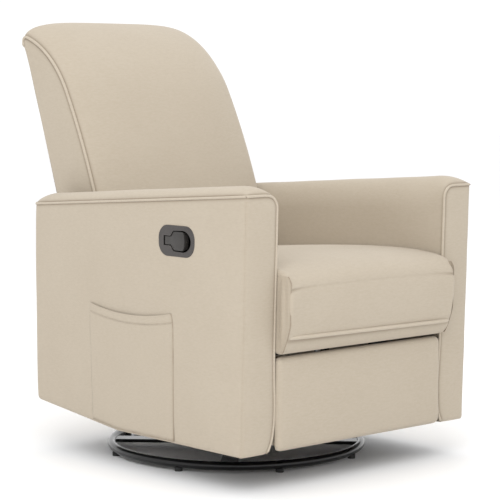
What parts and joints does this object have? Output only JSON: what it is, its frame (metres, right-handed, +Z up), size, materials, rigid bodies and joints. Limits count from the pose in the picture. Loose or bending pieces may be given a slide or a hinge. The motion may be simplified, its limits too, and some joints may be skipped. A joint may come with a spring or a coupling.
{
  "type": "glider nursery chair",
  "caption": "Upholstered nursery glider that swivels on a round base, rocks on hanging links, reclines and lifts a padded leg rest.",
  "frame": {"origin": "on the floor under the swivel axis, at the centre of the base ring", "axes": "+Z up; the chair faces -Y; +X is the sitter's left"},
  "size_m": [0.7075, 0.9695, 1.023],
  "materials": {
    "cream_cloth": "matte",
    "gloss_black_steel": "gloss",
    "frame_steel": "satin",
    "bearing_steel": "satin",
    "zinc_steel": "satin",
    "spring_wire": "satin",
    "frame_timber": "matte",
    "deck_felt": "matte",
    "foot_rubber": "matte",
    "handle_plastic": "satin",
    "cable_sheath": "satin"
  },
  "bodies": {
    "base": {"base_ring": "gloss_black_steel", "base_feet": "foot_rubber", "base_cross_bars": "gloss_black_steel", "swivel_post": "gloss_black_steel", "lower_race": "bearing_steel", "post_circlip": "bearing_steel"},
    "carriage": {"swivel_hub": "bearing_steel", "carriage_plate": "frame_steel", "carriage_rails": "frame_steel", "front_uprights": "frame_steel", "rear_uprights": "frame_steel", "upper_glide_pins": "zinc_steel"},
    "front_links": {"front_glide_links": "frame_steel"},
    "rear_links": {"rear_glide_links": "frame_steel"},
    "seat": {"front_hangers": "frame_steel", "rear_hangers": "frame_steel", "lower_glide_pins": "zinc_steel", "seat_cross_bars": "frame_steel", "seat_side_rails": "frame_timber", "front_rail": "frame_timber", "rear_rail": "frame_timber", "seat_springs": "spring_wire", "deck_pad": "deck_felt", "seat_cushion": "cream_cloth", "rear_panel": "cream_cloth", "arm_frame_right": "frame_timber", "arm_frame_left": "frame_timber", "arm_cover_right": "cream_cloth", "arm_cover_left": "cream_cloth", "arm_pad_right": "cream_cloth", "arm_pad_left": "cream_cloth", "arm_front_right": "cream_cloth", "arm_front_left": "cream_cloth", "arm_bolts": "zinc_steel", "side_pocket": "cream_cloth", "handle_bezel": "handle_plastic", "handle_pin": "zinc_steel", "handle_spring": "spring_wire", "release_cable": "cable_sheath", "recline_brackets": "frame_steel", "recline_pins": "zinc_steel", "legrest_brackets": "frame_steel"},
    "backrest": {"back_hinge_plates": "frame_steel", "back_posts": "frame_timber", "back_cross_rails": "frame_timber", "back_springs": "spring_wire", "back_cushion": "cream_cloth", "back_side_panels": "cream_cloth", "back_rear_panel": "cream_cloth"},
    "paddle": {"handle_paddle": "handle_plastic"},
    "leg_arms": {"torque_tube": "frame_steel", "swing_arms": "frame_steel"},
    "leg_lift": {"lift_links": "frame_steel", "legrest_pins": "zinc_steel"},
    "leg_rods": {"turning_rods": "frame_steel"},
    "leg_guides": {"guide_links": "frame_steel"},
    "footboard": {"footboard_brackets": "frame_steel", "footboard_core": "frame_timber", "footboard_pad": "cream_cloth"}
  },
  "joints": [
    {"name": "swivel", "type": "hinge", "parent": "base", "child": "carriage", "pos_m": [0, 0, 0.04], "axis": [0, 0, 1], "continuous": true},
    {"name": "glide", "type": "hinge", "parent": "carriage", "child": "front_links", "pos_m": [0, -0.13, 0.232], "axis": [-1, 0, 0], "range_deg": [-22, 22]},
    {"name": "rear_glide", "type": "hinge", "parent": "carriage", "child": "rear_links", "pos_m": [0, 0.13, 0.232], "axis": [-1, 0, 0], "range_deg": [-22, 22]},
    {"name": "seat_level", "type": "hinge", "parent": "front_links", "child": "seat", "pos_m": [0, -0.13, 0.107], "axis": [-1, 0, 0], "range_deg": [-22, 22]},
    {"name": "recline", "type": "hinge", "parent": "seat", "child": "backrest", "pos_m": [0, 0.215, 0.337], "axis": [-1, 0, 0], "range_deg": [0, 38]},
    {"name": "handle_pull", "type": "hinge", "parent": "seat", "child": "paddle", "pos_m": [-0.344, -0.1665, 0.53], "axis": [0, 0, -1], "range_deg": [0, 25], "stiffness_Nm_per_rad": 0.3},
    {"name": "leg_rest", "type": "hinge", "parent": "seat", "child": "leg_arms", "pos_m": [0, -0.31, 0.239], "axis": [-1, 0, 0], "range_deg": [0, 112]},
    {"name": "leg_lift", "type": "hinge", "parent": "leg_arms", "child": "leg_lift", "pos_m": [0, -0.25357, 0.08395], "axis": [-1, 0, 0], "range_deg": [-138, 0]},
    {"name": "footboard_turn", "type": "hinge", "parent": "leg_lift", "child": "footboard", "pos_m": [0, -0.37, 0.227], "axis": [-1, 0, 0], "range_deg": [0, 118]},
    {"name": "rod_turn", "type": "hinge", "parent": "leg_arms", "child": "leg_rods", "pos_m": [0, -0.23033, 0.07858], "axis": [-1, 0, 0], "range_deg": [-141, 0]},
    {"name": "guide_turn", "type": "hinge", "parent": "seat", "child": "leg_guides", "pos_m": [0, -0.2617, 0.2445], "axis": [-1, 0, 0], "range_deg": [0, 108]}
  ],
  "couplings": [
    {"joint": "rear_glide", "follows": "glide", "ratio": 1},
    {"joint": "seat_level", "follows": "glide", "ratio": -1},
    {"joint": "leg_lift", "follows": "leg_rest", "ratio": -1.2309},
    {"joint": "footboard_turn", "follows": "leg_rest", "ratio": 1.0523},
    {"joint": "rod_turn", "follows": "leg_rest", "ratio": -1.2528},
    {"joint": "guide_turn", "follows": "leg_rest", "ratio": 0.9638}
  ]
}
